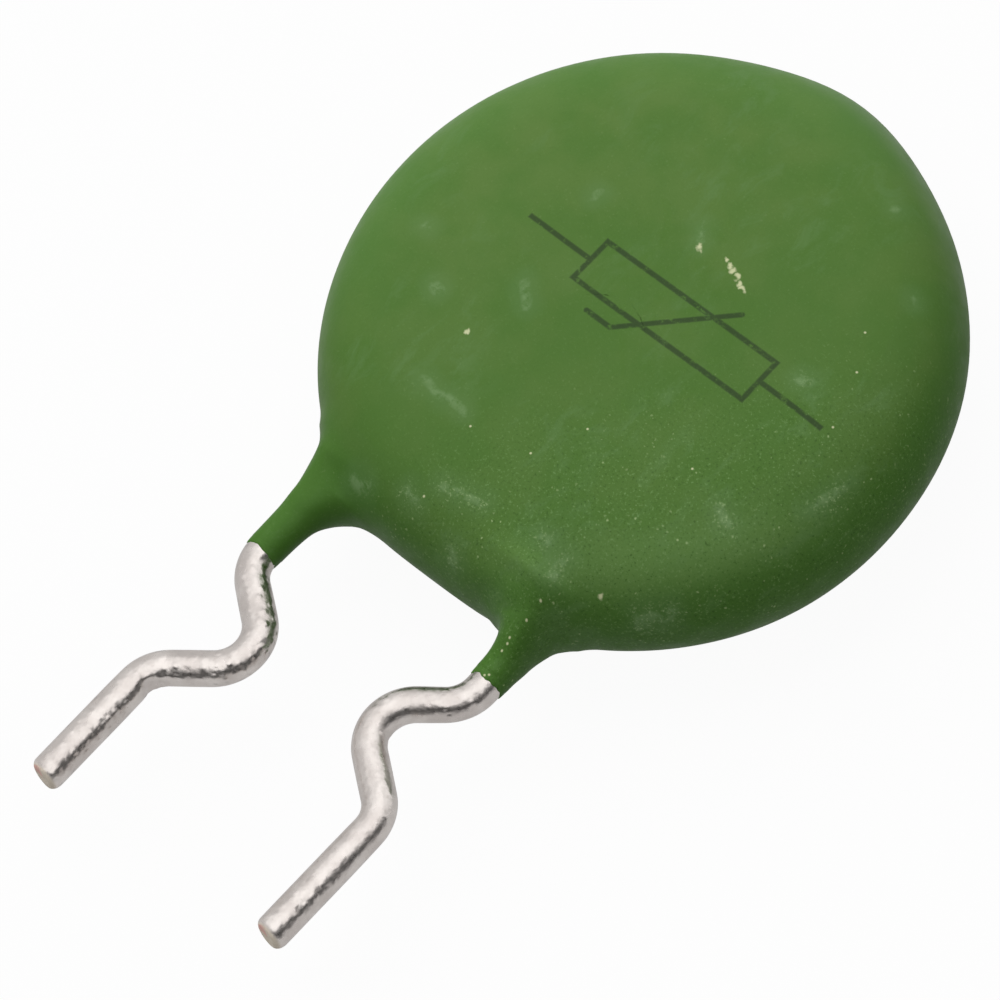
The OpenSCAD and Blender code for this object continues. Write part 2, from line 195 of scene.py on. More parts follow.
class Value:
    """A socket of a shader. An expression on it adds its Math nodes."""

    def __init__(self, shading, socket):
        self.shading, self.socket = shading, socket

    def math(self, operation, *others, swap=False):
        values = [self, *others]
        if swap:
            values.reverse()
        return self.shading.node(
            "ShaderNodeMath", {"operation": operation}, dict(enumerate(values)))

    def __add__(self, other):
        return self.math("ADD", other)

    def __radd__(self, other):
        return self.math("ADD", other, swap=True)

    def __sub__(self, other):
        return self.math("SUBTRACT", other)

    def __rsub__(self, other):
        return self.math("SUBTRACT", other, swap=True)

    def __mul__(self, other):
        return self.math("MULTIPLY", other)

    def __rmul__(self, other):
        return self.math("MULTIPLY", other, swap=True)

    def least(self, other):
        return self.math("MINIMUM", other)

    def most(self, other):
        return self.math("MAXIMUM", other)

    def size(self):
        return self.math("ABSOLUTE")

    def root(self):
        return self.math("SQRT")

    def clamp(self):
        return self.shading.node("ShaderNodeMapRange", sockets={"Value": self})

    def ramp(self, low, high):
        """0 at low, 1 at high, smooth between; low may be the greater."""
        return self.shading.node(
            "ShaderNodeMapRange", {"interpolation_type": "SMOOTHSTEP"},
            {"Value": self, "From Min": low, "From Max": high})


class Shading:
    """A tree of shader nodes, and the one way in which nodes are added to it."""

    def __init__(self, tree):
        self.tree = tree

    def node(self, kind, settings=None, sockets=None, out=0):
        made = self.tree.nodes.new(kind)
        for name, value in (settings or {}).items():
            setattr(made, name, value)
        for name, value in (sockets or {}).items():
            self.feed(made.inputs[name], value)
        return Value(self, made.outputs[out])

    def feed(self, socket, value):
        if isinstance(value, Value):
            self.tree.links.new(value.socket, socket)
        else:
            socket.default_value = value

    def light_path(self, ray):
        """1 for rays of that kind, 0 for others."""
        return self.node("ShaderNodeLightPath", out=f"Is {ray} Ray")


class Paint(Shading):
    """A material with a Principled shader."""

    def __init__(self, name, **sockets):
        self.material = bpy.data.materials.new(name)
        self.material.use_nodes = True
        super().__init__(self.material.node_tree)
        self.shader = self.tree.nodes["Principled BSDF"]
        self.set(**sockets)

    def set(self, **sockets):
        for name, value in sockets.items():
            self.feed(self.shader.inputs[name.replace("_", " ")], value)

    def position(self, turn=(0, 0, 0), stretch=(1, 1, 1)):
        """Place on the piece in millimetres from the disc's middle, turned and stretched."""
        here = self.node("ShaderNodeTexCoord", out="Object")
        return self.node("ShaderNodeMapping", {}, {
            "Vector": self.vector("SUBTRACT", here, middle), "Rotation": turn,
            "Scale": [s / MM for s in stretch]})

    def vector(self, operation, *values, out=0):
        return self.node(
            "ShaderNodeVectorMath", {"operation": operation}, dict(enumerate(values)), out)

    def axes(self, vector):
        """The three numbers of a vector."""
        split = self.node("ShaderNodeSeparateXYZ", {}, {0: vector})
        return [Value(self, socket) for socket in split.socket.node.outputs]

    def noise(self, vector, scale, detail=2.0, rough=0.5, warp=0.0, out=0):
        return self.node("ShaderNodeTexNoise", {}, {
            "Vector": vector, "Scale": scale, "Detail": detail, "Roughness": rough,
            "Distortion": warp}, out)

    def spots(self, vector, scale, feature="F1"):
        """Distance to the nearest of many scattered spots."""
        return self.node("ShaderNodeTexVoronoi", {"feature": feature},
                         {"Vector": vector, "Scale": scale}, "Distance")

    def mix(self, share, a, b):
        """Colour a where share is 0, b where it is 1."""
        return self.node("ShaderNodeMix", {"data_type": "RGBA"}, {0: share, 6: a, 7: b}, 2)

    def bump(self, height, strength, distance):
        return self.node(
            "ShaderNodeBump", {}, {"Height": height, "Strength": strength, "Distance": distance})

    def attribute(self, name):
        return self.node("ShaderNodeAttribute", {"attribute_name": name}, out="Fac")


def tone(r, g, b):
    """A colour as it looks on screen, as the shader wants it."""
    def linear(v):
        v /= 255
        return v / 12.92 if v <= 0.04045 else ((v + 0.055) / 1.055) ** 2.4
    return linear(r), linear(g), linear(b), 1.0


def grey(shade):
    return shade, shade, shade, 1


# World and floor: white behind the object, plain light on it
ROOM_LIGHT, ROOM_SEEN = 0.36, 1.0
FLOOR_SIZE, FLOOR_SHADE, FLOOR_GLOW = 3.0, 0.38, 1.06
# How much of the floor's look is glow, to the camera and to shiny surfaces
GLOW_TO_CAMERA, GLOW_TO_GLOSS = 0.9, 0.42


def light_room():
    world = bpy.data.worlds.new("studio")
    bpy.context.scene.world = world
    world.use_nodes = True
    sky = Shading(world.node_tree)
    seen = sky.light_path("Camera").most(sky.light_path("Transmission"))
    seen = seen.most(sky.light_path("Glossy"))
    strength = sky.node("ShaderNodeMapRange", {}, {
        "Value": seen, "To Min": ROOM_LIGHT, "To Max": ROOM_SEEN})
    background = world.node_tree.nodes["Background"]
    sky.feed(background.inputs["Strength"], strength)
    sky.feed(background.inputs["Color"], grey(1))


def lay_floor():
    bm = bmesh.new()
    bmesh.ops.create_grid(bm, x_segments=1, y_segments=1, size=FLOOR_SIZE / 2)
    floor = add_object("floor", bm)
    floor.location.z = cad_box[0].z
    paint = Paint(
        "white_floor", Base_Color=grey(FLOOR_SHADE), Roughness=0.9, Specular_IOR_Level=0.0)
    glow = paint.node("ShaderNodeEmission", {}, {"Strength": FLOOR_GLOW})
    to_camera = paint.light_path("Camera") * GLOW_TO_CAMERA
    share = to_camera.most(paint.light_path("Glossy") * GLOW_TO_GLOSS)
    lit = Value(paint, paint.shader.outputs[0])
    shown = paint.node("ShaderNodeMixShader", {}, {0: share, 1: lit, 2: glow})
    paint.feed(paint.tree.nodes["Material Output"].inputs["Surface"], shown)
    floor.data.materials.append(paint.material)
    return floor


light_room()
floor = lay_floor()


def add_card(name, bm, shade):
    """Makes a studio card of the mesh, with a glow that only shiny surfaces see."""
    card = add_object(name, bm)
    paint = Paint(name, Base_Color=grey(0), Roughness=1.0, Specular_IOR_Level=0.0,
                  Emission_Strength=1.0, Emission_Color=grey(shade))
    card.data.materials.append(paint.material)
    card.visible_camera = card.visible_diffuse = card.visible_shadow = False
    card.visible_transmission = False


def bent_card(name, distance, azimuths, elevations, shade):
    """A card bent round the object, between two azimuths and two elevations in degrees."""
    bm = bmesh.new()
    heights = [distance * math.tan(math.radians(e)) for e in elevations]
    foot, top = (bmesh.ops.create_vert(bm, co=(distance, 0, z))["vert"][0] for z in heights)
    edge = bm.edges.new((foot, top))
    start, stop = (math.radians(a) for a in azimuths)
    bmesh.ops.rotate(bm, verts=bm.verts, cent=(0, 0, 0), matrix=Matrix.Rotation(start, 3, "Z"))
    bmesh.ops.spin(bm, geom=[foot, top, edge], cent=(0, 0, 0), axis=(0, 0, 1), dvec=(0, 0, 0),
                   angle=stop - start, steps=32)
    bmesh.ops.translate(bm, verts=bm.verts, vec=middle)
    add_card(name, bm, shade)


def flat_card(name, centre, width, depth, shade):
    """A level card over the object."""
    bm = bmesh.new()
    bmesh.ops.create_grid(bm, x_segments=1, y_segments=1, size=0.5)
    stretch = Matrix.Diagonal((width, depth, 1, 1))
    bmesh.ops.transform(
        bm, verts=bm.verts, matrix=Matrix.Translation(middle + Vector(centre)) @ stretch)
    add_card(name, bm, shade)


# Cards that give the wires dark and light stripes, with distances and sizes in metres
bent_card("dark_card", 0.22, (-100, 35), (8, 38), 0.04)
bent_card("dusk_card", 0.24, (-105, 45), (0, 50), 0.34)
bent_card("grey_card", 0.24, (110, 250), (0, 40), 0.7)
flat_card("overhead_glow", (0.03, 0.05, 0.25), 0.26, 0.42, 1.25)

# The coating's skin is two heights over the mid-plane, one to each face. Their square falls to
# nothing at the outline: it is the greatest of the disc's and the two necks', run together.

# Powers of the curve that rounds the disc's rim, of the corners between the round of the rim
# and its straight edge, and of the curve across a neck, which is round at its end
RIM_POWER, EDGE_POWER, NECK_POWER, ROUND_POWER = 6.6, 12, 2.5, 2
# How far the disc's and a neck's squared heights run into each other, in square millimetres
BLEND = 1.8
# What the rim gains at an angle in degrees, clockwise from the end away from the leads, and
# the angle over which it fades: first the drip, then a swelling and two hollows
RIM_WAVES = [(0.25, 0, 16), (0.09, 113, 24), (-0.035, 42, 14), (-0.06, -112, 28)]
# What a neck gains in height as it nears the disc, the length over which it gains it, and how
# far inside the rim it has all of it
NECK_RISE, NECK_RISE_INSET = (0.51, 0.7), 0.9
# Half width of the swelling over a climbing wire, how softly it starts, and half width of the
# ridge over a wire on the face
SWELL_W, SWELL_SOFT, RIDGE_W = 1.35, 0.16, 1.2
# The least squared height that the skin's height is reckoned from
LEAST_H2 = 1e-4
# The film on a neck thins to this wall, and its lip runs on about this far past the neck and
# ends this deep under the wire's surface
FILM_WALL, LIP_L, LIP_SINK = 0.03, 0.28, 0.03
# Where a neck's sides thin, where its top thins and where it turns round: the start, beyond the
# rim, and the length
SIDES_THIN, TOP_THINS, TURNS_ROUND = (-0.6, 0.8), (0.3, 0.6), (0.2, 0.6)
# Heights of the waves and of the finer ripples that the dip leaves, and where they have faded
# towards the necks and over what length
WAVE_H, RIPPLE_H, WAVES_END_Y, WAVES_FADE = 0.012, 0.006, -9.0, 2
# The two necks: line, end, and what each side gains in width and over what length. The ends
# leave room for the lip.
NECKS = {
    FRONT: dict(line=FRONT_LINE, end=front_end_y - 0.4, outer=(0.36, 0.3), inner=(0.46, 0.2)),
    REAR: dict(line=REAR_LINE, end=rear_end_y - 0.12, outer=(0.51, 0.6), inner=(0.71, 0.45)),
}


def smooth_max(a, b, k):
    return np.maximum(a, b) + np.maximum(k - np.abs(a - b), 0) ** 2 / (4 * k)


def bell(v):
    return np.exp(-np.asarray(v, float) ** 2)


def ease(out, stretch):
    """0 to 1, smoothly, over a stretch that is given by its start and its length."""
    start, length = stretch
    v = np.clip((out - start) / length, 0, 1)
    return v * v * (3 - 2 * v)


def disc_h2(x, y):
    """Squared height of the disc: its rim waves a little and is straight between the leads."""
    angle = np.degrees(np.arctan2(x, y))
    reach = rim_r + sum(gain * bell((angle - at) / fade) for gain, at, fade in RIM_WAVES)
    round_part = (np.hypot(x, y) / reach) ** RIM_POWER
    straight = (np.maximum(0, -y) / edge_y) ** RIM_POWER
    both = (round_part ** EDGE_POWER + straight ** EDGE_POWER) ** (1 / EDGE_POWER)
    return face_z ** 2 * (1 - both)


def film_wall(out, stretch):
    """Thickness of the film on a neck, which thins over a stretch."""
    return neck_wall + (FILM_WALL - neck_wall) * ease(out, stretch)


def flared(flare, beyond, wall):
    """Half size of a neck that flares as it nears the disc, at a distance beyond its widest."""
    gain, fade = flare
    return wire_r + wall + gain * np.exp(-np.maximum(0, beyond) / fade)


def neck_h2(neck, x, y):
    """Squared height of a neck, which has its own half width on each side."""
    axis_x = neck["line"][CLIMB].x
    off = (x - axis_x) * math.copysign(1, axis_x)
    out = -y - rim_r
    wide_x = abs(axis_x) + wire_r + neck_wall + neck["outer"][0]
    side_wall = film_wall(out, SIDES_THIN)
    half_w = np.where(
        off > 0, flared(neck["outer"], -y - math.sqrt(rim_r ** 2 - wide_x ** 2), side_wall),
        flared(neck["inner"], -y - edge_y, side_wall))
    half_h = flared(NECK_RISE, out + NECK_RISE_INSET, film_wall(out, TOP_THINS))
    power = NECK_POWER + (ROUND_POWER - NECK_POWER) * ease(out, TURNS_ROUND)
    return np.where(y > 0, -BLEND, half_h ** 2 * (1 - (np.abs(off) / half_w) ** power))


def skin_h2(x, y):
    necks = np.maximum(neck_h2(NECKS[FRONT], x, y), neck_h2(NECKS[REAR], x, y))
    return smooth_max(disc_h2(x, y), necks, BLEND)


def swelling(line, x, y):
    """Share that the skin's height gains, so that it covers the wire that climbs below."""
    climb = wire_z / (rise_start_y - rise_end_y)
    covered = np.minimum(
        wire_z + wire_r + neck_wall,
        climb * (y + rise_start_y) + (wire_r + neck_wall) * math.hypot(1, climb))
    run = line[ON_FACE + 1] - line[ON_FACE]
    axis_x = line[ON_FACE].x + np.maximum(0, y - line[ON_FACE].y) * run.x / run.y
    lack = covered / np.sqrt(np.maximum(LEAST_H2, skin_h2(axis_x, y))) - 1
    return np.where(y > 0, 0, smooth_max(lack, 0, SWELL_SOFT) * bell((x - axis_x) / SWELL_W))


def ridge_at(line, x, y):
    """Height of the ridge over a wire on the face, faded at the wire's end."""
    start, run = line[ON_FACE].xy, (line[ON_FACE + 1] - line[ON_FACE]).xy
    way = run.normalized()
    along = (x - start.x) * way.x + (y - start.y) * way.y
    off = np.hypot(x - start.x - along * way.x, y - start.y - along * way.y)
    past = np.maximum(0, along - run.length)
    return ridge * bell(off / RIDGE_W) * bell(past / RIDGE_W)


def skin_z(face, x, y):
    """Height of the skin over the mid-plane, on the side of the wire that runs on that face."""
    line = NECKS[face]["line"]
    h = np.sqrt(np.maximum(0, skin_h2(x, y)))
    return h * (1 + swelling(line, x, y)) + ridge_at(line, x, y) * np.minimum(1, h / (face_z / 2))


# The skin's mesh is a fan of rays round the disc's middle, which runs out to the outline. At
# each neck it ends on a line across its root, and slices go on from there to the neck's end.
ARC_STEPS, EDGE_STEPS, SLICE_STEPS, RINGS, NECK_SLICES, LIP_STEPS = 200, 48, 28, 64, 44, 7
# How much finer the steps are near the necks, and how much the rays bend to run along them
ARC_EASE, EDGE_EASE, BOW = 0.6, 0.3, 0.6
# A search for the outline runs between these shares of the rim's radius
NEAR, FAR = 0.8, 1.25
# A search across a neck ends this far from its axis
NECK_FAR = 2.6
SEARCH_STEPS = 30
REAR_ROOT = ARC_STEPS
FRONT_ROOT = ARC_STEPS + SLICE_STEPS + EDGE_STEPS
AROUND = FRONT_ROOT + SLICE_STEPS
# The root lines lie a little beyond the straight edge
root_y = edge_y + 0.15


def outline_at(x, y, way_x, way_y, low, high):
    """Distance from a place, along each direction, at which the skin closes."""
    low = np.full(np.shape(way_x), float(low))
    high = np.full(np.shape(way_x), float(high))
    for _ in range(SEARCH_STEPS):
        mid = (low + high) / 2
        inside = skin_h2(x + mid * way_x, y + mid * way_y) > 0
        low, high = np.where(inside, mid, low), np.where(inside, high, mid)
    return (low + high) / 2


def slice_points(neck, y):
    """Plan points across a neck at y, from its side at -x to its side at +x."""
    axis_x = neck["line"][CLIMB].x
    low, high = (axis_x + side * float(outline_at(axis_x, y, np.float64(side), 0.0, 0, NECK_FAR))
                 for side in (LEFT, RIGHT))
    share = np.cos(np.pi * np.arange(SLICE_STEPS + 1) / SLICE_STEPS)
    x = (low + high) / 2 - (high - low) / 2 * share
    return np.stack([x, np.full(SLICE_STEPS + 1, y)], 1)


def outline_points(start, stop, count, finer):
    """Points of the outline from one angle to before another, with finer steps at both ends."""
    share = np.arange(count) / count
    share = share - finer * np.sin(2 * np.pi * share) / (2 * np.pi)
    angle = start + (stop - start) * share
    reach = outline_at(0, 0, np.cos(angle), np.sin(angle), NEAR * rim_r, FAR * rim_r)
    return np.stack([reach * np.cos(angle), reach * np.sin(angle)], 1)


def angle_of(point):
    return math.atan2(point[1], point[0])


def border():
    """The fan's border, anticlockwise from the front neck's outer side."""
    front, rear = slice_points(NECKS[FRONT], -root_y), slice_points(NECKS[REAR], -root_y)
    arc = outline_points(
        angle_of(front[-1]), angle_of(rear[0]) + 2 * math.pi, ARC_STEPS, ARC_EASE)
    edge = outline_points(angle_of(rear[-1]), angle_of(front[0]), EDGE_STEPS, EDGE_EASE)
    arc[0], edge[0] = front[-1], rear[-1]
    return np.concatenate([arc, rear[:-1], edge, front[:-1]])


def next_ring(row, made):
    """The new vertices of an extrusion, each beside its own vertex of the last row."""
    fresh = {v for v in made if isinstance(v, bmesh.types.BMVert)}
    return [next(e.other_vert(v) for e in v.link_edges if e.other_vert(v) in fresh) for v in row]


def fan(bm):
    """Spins a ray round the middle and runs it out to the border. Gives the border's vertices."""
    ray = [bm.verts.new((k / RINGS, 0, 0)) for k in range(RINGS + 1)]
    spokes = [bm.edges.new(pair) for pair in zip(ray, ray[1:])]
    bmesh.ops.spin(bm, geom=ray + spokes, cent=(0, 0, 0), axis=(0, 0, 1), dvec=(0, 0, 0),
                   angle=2 * math.pi, steps=AROUND, use_merge=True)
    bmesh.ops.remove_doubles(bm, verts=bm.verts, dist=1e-5)
    ends = border()
    rim = {}
    for v in bm.verts:
        k = round(math.hypot(v.co.x, v.co.y) * RINGS)
        j = round(angle_of(v.co) / (2 * math.pi) * AROUND) % AROUND
        end = ends[j]
        share = math.sin(math.pi / 2 * k / RINGS)
        bend = 1 - BOW * (min(0, end[1]) / math.hypot(*end)) ** 2
        v.co = (end[0] * share ** bend, end[1] * share, 0)
        if k == RINGS:
            rim[j] = v
    return rim


def neck_slices(bm, row, neck):
    """Extrudes a neck from the row of vertices across its root."""
    for s in range(1, NECK_SLICES + 1):
        edges = [bm.edges.get(pair) for pair in zip(row, row[1:])]
        row = next_ring(row, bmesh.ops.extrude_edge_only(bm, edges=edges)["geom"])
        y = -(root_y + (neck["end"] - root_y) * s / NECK_SLICES)
        for v, p in zip(row, slice_points(neck, y)):
            v.co = (p[0], p[1], 0)


def sheet(face):
    """One side of the skin: a fan, with slices down each neck, all raised to its height."""
    bm = bmesh.new()
    rim = fan(bm)
    for root, neck in ((FRONT_ROOT, NECKS[FRONT]), (REAR_ROOT, NECKS[REAR])):
        neck_slices(bm, [rim[(root + i) % AROUND] for i in range(SLICE_STEPS + 1)], neck)
    plan = np.array([v.co[:] for v in bm.verts])
    height = face * skin_z(face, plan[:, 0], plan[:, 1])
    for v, z in zip(bm.verts, height):
        v.co.z = z
    return bm


def film_end(bm, neck, seed):
    """Runs the open end of a neck out to a thin uneven lip that closes on the wire."""
    axis = Vector((neck["line"][CLIMB].x, -neck["end"], 0))
    rim = [e for e in bm.edges
           if e.is_boundary and all(abs(v.co.y - axis.y) < 1e-4 for v in e.verts)]
    for s in range(1, LIP_STEPS + 1):
        made = bmesh.ops.extrude_edge_only(bm, edges=rim)["geom"]
        rim = [e for e in made if isinstance(e, bmesh.types.BMEdge) and e.is_boundary
               and all(v in made for v in e.verts)]
        fall = s / LIP_STEPS
        reach = wire_r + (FILM_WALL * math.sqrt(1 - fall ** 2) if s < LIP_STEPS else -LIP_SINK)
        for v in {v for e in rim for v in e.verts}:
            side = Vector((v.co.x - axis.x, 0, v.co.z)).normalized()
            ragged = (noise.noise(side * 1.3 + Vector((seed, 0, 0))) * 0.12
                      + noise.noise(side * 4 + Vector((seed, 3, 0))) * 0.04)
            v.co = axis + side * reach - Vector((0, (LIP_L + ragged) * fall, 0))


def make_uneven(bm):
    """Faint waves that the dip leaves on the disc, none at the rim's edge or on the necks."""
    for v in bm.verts:
        p = v.co
        wave = WAVE_H * noise.noise(p * 0.35) + RIPPLE_H * noise.noise(p * 0.9 + Vector((7, 0, 0)))
        on_disc = min(1, max(0, (p.y - WAVES_END_Y) / WAVES_FADE))
        v.co.z += math.copysign(wave * on_disc * min(1, abs(p.z)), p.z)


# Pale streaks on the front, from end to end
STREAKS = [
    ((-2.42, -1.2), (-1.96, -1.72)), ((-4.3, -2.6), (-4.1, -2.72)), ((-0.02, 2.76), (0.28, 2.32)),
    ((5.38, 4.6), (5.46, 4.55)), ((-2.75, -7.64), (-2.3, -7.6)), ((7.3, -1.25), (7.5, -0.4)),
    ((3.38, -6.25), (3.46, -6.85)), ((-2.71, -4.84), (-1.25, -4.88)), ((4.88, 0.97), (5.12, 1.06)),
    ((-0.42, -6.66), (0.82, -6.46)), ((-1.12, -7.22), (-0.78, -7.33)), ((0.62, -7.7), (0.88, -7.82)),
    ((5.45, -6.1), (6.12, -5.43)), ((-2.75, 1.76), (-2.7, 1.86)), ((5.55, -2.9), (6.02, -3.12)),
    ((2.6, -6.3), (2.76, -6.28)), ((-5.7, -1.5), (-5.6, -1.46)), ((3.28, 6.28), (3.36, 6.3)),
]
# What counts as far from any streak
NO_STREAK = 9.0


def gap_to_streaks(plan):
    """Distance from each plan point to the nearest streak."""
    gaps = []
    for start, end in STREAKS:
        run = np.subtract(end, start)
        along = np.clip((plan - start) @ run / (run @ run), 0, 1)
        gaps.append(np.hypot(*(plan - start - along[:, None] * run).T))
    return np.min(gaps, axis=0)


def store_streaks(bm):
    """Stores at each vertex its distance from a streak, with the streaks a little crooked."""
    crooked = np.array([(v.co + noise.noise_vector(v.co * 2.2) * 0.12)[:2] for v in bm.verts])
    layer = bm.verts.layers.float.new("streak_gap")
    for v, gap in zip(bm.verts, gap_to_streaks(crooked)):
        v[layer] = gap if v.co.z > 0 else NO_STREAK


def skin():
    """The coating: both sides joined at the outline, with a lip on each wire."""
    bm = sheet(FRONT)
    rear_side = sheet(REAR)
    spare = bpy.data.meshes.new("rear_side")
    rear_side.to_mesh(spare)
    rear_side.free()
    bm.from_mesh(spare)
    bpy.data.meshes.remove(spare)
    bmesh.ops.remove_doubles(bm, verts=bm.verts, dist=2e-4)
    for face in (FRONT, REAR):
        film_end(bm, NECKS[face], 3.1 * face)
    make_uneven(bm)
    store_streaks(bm)
    return add_piece("coating_skin", bm)


# The leads: wire swept along its line, pressed at a bend and rounded at its cut tip
WIRE_SEGMENTS = 44
STATION_STEP = 0.16
# The tip narrows to this share over this length, on these stations
TIP_SHARE, TIP_L = 0.6, 0.24
TIP_STATIONS = (0.0, 0.01, 0.03, 0.06, 0.1, 0.14, 0.18, 0.21)
# The bends of the kink, counted from the tip
KINK_BENDS = 3
# Rings that are set into the cut face: how deep and how wide
CUT_RINGS = ((0.01, 0.08), (0.004, 0.1), (0.0, 0.08))
# The cut leans this way by this much, which fades over this length
CUT_SIDE, CUT_LEAN, CUT_LEAN_L = Vector((-1, 0, 0.4)), 0.05, 0.3
# The cut's tone fades over this length from the tip
CUT_TONE_L = 0.2
# Bare copper shows on this side of the cut, up to this far from the tip
COPPER_SIDE, COPPER_L = Vector((-0.8, 0, 0.6)), 0.05
# A bend is thinner by this share from its inner to its outer side, over this length
SQUEEZE, SQUEEZE_L = 0.035, 0.8
# A pressed flat lies at this share of the wire's radius, and ends over this length
FLAT_SHARE, FLAT_L = 0.68, 0.6
# How much the wire's radius varies
WIRE_UNEVEN = 0.01


def straight_stations(start, stop, heading):
    """Points with their heading from start to before stop."""
    steps = max(2, round((stop - start).length / STATION_STEP))
    return [(start + (stop - start) * k / steps, heading) for k in range(steps)]


def wire_path(corners):
    """Points along the line with their headings, and for each bend its place and inner side."""
    points, bends = [], []
    at = corners[0]
    for before, corner, after in zip(corners, corners[1:], corners[2:]):
        into, out = (corner - before).normalized(), (after - corner).normalized()
        turn = into.angle(out)
        stop = corner - into * bend_r * math.tan(turn / 2)
        points += straight_stations(at, stop, into)
        inward = (out - into * out.dot(into)).normalized()
        hub = stop + inward * bend_r
        steps = max(4, round(math.degrees(turn) / 4))
        bends.append((len(points) + steps // 2, inward))
        for k in range(steps + 1):
            a = turn * k / steps
            at = hub + (into * math.sin(a) - inward * math.cos(a)) * bend_r
            if k < steps:
                points.append((at, into * math.cos(a) + inward * math.sin(a)))
    into = (corners[-1] - corners[-2]).normalized()
    points += straight_stations(at, corners[-1], into)
    points.append((corners[-1], into))
    return points, bends


def pressed_r(way, bends):
    """Radius of the wire in a direction. A bend is its gap, its inner side and if it is flat."""
    r = wire_r
    for gap, inward, is_flat in bends:
        facing = way.dot(inward)
        r *= 1 - SQUEEZE * math.exp(-(gap / SQUEEZE_L) ** 2) * facing ** 2
        if is_flat and facing > 0.2:
            r = min(r, wire_r * (FLAT_SHARE + 0.5 * (gap / FLAT_L) ** 6) / facing)
    return r


def lead(name, corners, pressed, seed):
    """Sweeps a ring along the line. The bend numbered pressed has a flat on its inner side."""
    points, bends = wire_path(corners)
    travelled = [0.0]
    for (a, _), (b, _) in zip(points, points[1:]):
        travelled.append(travelled[-1] + (b - a).length)
    tip, heading = points[0]
    stations = [(tip + heading * t, heading, t) for t in TIP_STATIONS]
    stations += [(*point, t) for point, t in zip(points, travelled) if t >= TIP_L]

    bm = bmesh.new()
    cut = bm.verts.layers.float.new("cut_end")
    copper = bm.verts.layers.float.new("bare_copper")
    bmesh.ops.create_circle(bm, segments=WIRE_SEGMENTS, radius=1.0, cap_ends=False)
    ring = sorted(bm.verts, key=lambda v: angle_of(v.co))
    tip_ring, edges = set(ring), list(bm.edges)
    side = Vector((0, 0, 1))
    for spot, heading, t in stations:
        if t > 0:
            ring = next_ring(ring, bmesh.ops.extrude_edge_only(bm, edges=edges)["geom"])
            edges = [bm.edges.get(pair) for pair in zip(ring, ring[1:] + ring[:1])]
        side = (side - heading * side.dot(heading)).normalized()
        other = heading.cross(side)
        short = max(0, 1 - t / TIP_L)
        share = TIP_SHARE + (1 - TIP_SHARE) * math.sqrt(1 - short ** 2)
        near = [(abs(t - travelled[i]), inward, number == pressed)
                for number, (i, inward) in enumerate(bends[:KINK_BENDS], 1)]
        for j, v in enumerate(ring):
            a = 2 * math.pi * j / WIRE_SEGMENTS
            way = side * math.cos(a) + other * math.sin(a)
            wave = noise.noise(spot * 0.8 + way * 0.9 + Vector((seed, 0, 0)))
            r = pressed_r(way, near) * (1 + WIRE_UNEVEN * wave) * share
            lean = way.dot(CUT_SIDE) * CUT_LEAN * max(0, 1 - t / CUT_LEAN_L)
            v.co = spot + way * r + heading * lean
            v[cut] = max(0.0, 1 - t / CUT_TONE_L)
            v[copper] = max(0, way.dot(COPPER_SIDE) - 0.6) * 2 if t < COPPER_L else 0.0
    bmesh.ops.reverse_faces(bm, faces=bm.faces)

    tip_edges = [e for e in bm.edges if e.is_boundary and all(v in tip_ring for v in e.verts)]
    cut_face = bmesh.ops.contextual_create(bm, geom=tip_edges)["faces"]
    for depth, width in CUT_RINGS:
        bmesh.ops.inset_region(bm, faces=cut_face, thickness=width, depth=depth)
        for v in cut_face[0].verts:
            v[cut] = 1.0
    bmesh.ops.contextual_create(bm, geom=[e for e in bm.edges if e.is_boundary])
    return add_piece(name, bm)


# The sign printed on the front: its middle, its box's half length and half height, how far its
# wire reaches to each side, and how far its stroke and foot run past the box
SIGN_X, SIGN_Y = 1.25, 0.3
SIGN_HALF_L, SIGN_HALF_H, SIGN_REACH = 2.85, 0.65, 4.85
SIGN_PAST, SIGN_FOOT = 0.5, 0.8
SIGN_STROKE_X = (0.1, 2.5)
# Where the ink starts to fade and where it ends, from the middle of a stroke
INK_FULL, INK_END = 0.045, 0.1


def gap_to_line(paint, plan, a, b):
    """Distance to the straight line from a to b."""
    a, b = Vector((*a, 0)), Vector((*b, 0))
    from_a = paint.vector("SUBTRACT", plan, a)
    along = paint.vector("DOT_PRODUCT", from_a, (b - a) / (b - a).length_squared, out="Value")
    foot = paint.node("ShaderNodeVectorMath", {"operation": "SCALE"},
                      {0: b - a, "Scale": along.clamp()})
    return paint.vector("DISTANCE", from_a, foot, out="Value")


def circuit_sign(paint, plan):
    """A generic thermistor sign: a box on a wire, crossed by a stroke with a foot."""
    x, y, _ = paint.axes(plan)
    side, height = (x - SIGN_X).size(), (y - SIGN_Y).size()
    box = (side - SIGN_HALF_L).most(height - SIGN_HALF_H).size()
    wire = height.most(SIGN_HALF_L - side).most(side - SIGN_REACH)
    past = SIGN_HALF_H + SIGN_PAST
    low, high = (SIGN_STROKE_X[0], SIGN_Y - past), (SIGN_STROKE_X[1], SIGN_Y + past)
    stroke = gap_to_line(paint, plan, low, high)
    foot = gap_to_line(paint, plan, (low[0] - SIGN_FOOT, low[1]), low)
    return box.least(wire).least(stroke).least(foot).ramp(INK_END, INK_FULL)


